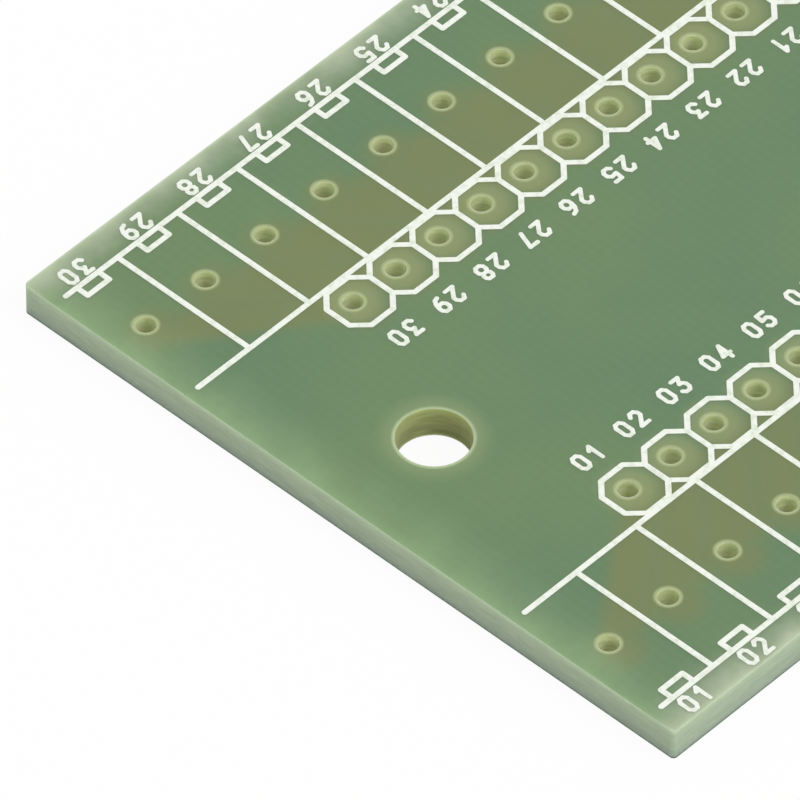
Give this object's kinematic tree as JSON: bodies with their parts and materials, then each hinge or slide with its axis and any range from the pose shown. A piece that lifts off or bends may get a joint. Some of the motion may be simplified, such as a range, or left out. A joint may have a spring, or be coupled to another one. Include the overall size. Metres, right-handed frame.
{
  "type": "bare printed circuit board for a screw terminal adapter",
  "caption": "Bare single-sided green circuit board that fans two rows of header pin holes out to two rows of screw terminal holes.",
  "frame": {"origin": "centre of the underside", "axes": "+X along the long side, +Y towards the far pin row, +Z out of the printed face"},
  "size_m": [0.0524, 0.036, 0.0016],
  "materials": {
    "laminate": "satin glass-epoxy sheet",
    "copper": "etched copper foil, tinned on the open pads",
    "solder_mask": "glossy cured film",
    "legend_ink": "screen-printed ink"
  },
  "bodies": {
    "root": {"laminate": "laminate", "track_01": "copper", "track_02": "copper", "track_03": "copper", "track_04": "copper", "track_05": "copper", "track_06": "copper", "track_07": "copper", "track_08": "copper", "track_09": "copper", "track_10": "copper", "track_11": "copper", "track_12": "copper", "track_13": "copper", "track_14": "copper", "track_15": "copper", "track_16": "copper", "track_17": "copper", "track_18": "copper", "track_19": "copper", "track_20": "copper", "track_21": "copper", "track_22": "copper", "track_23": "copper", "track_24": "copper", "track_25": "copper", "track_26": "copper", "track_27": "copper", "track_28": "copper", "track_29": "copper", "track_30": "copper", "solder_mask": "solder_mask", "legend_near": "legend_ink", "legend_far": "legend_ink"}
  },
  "joints": []
}
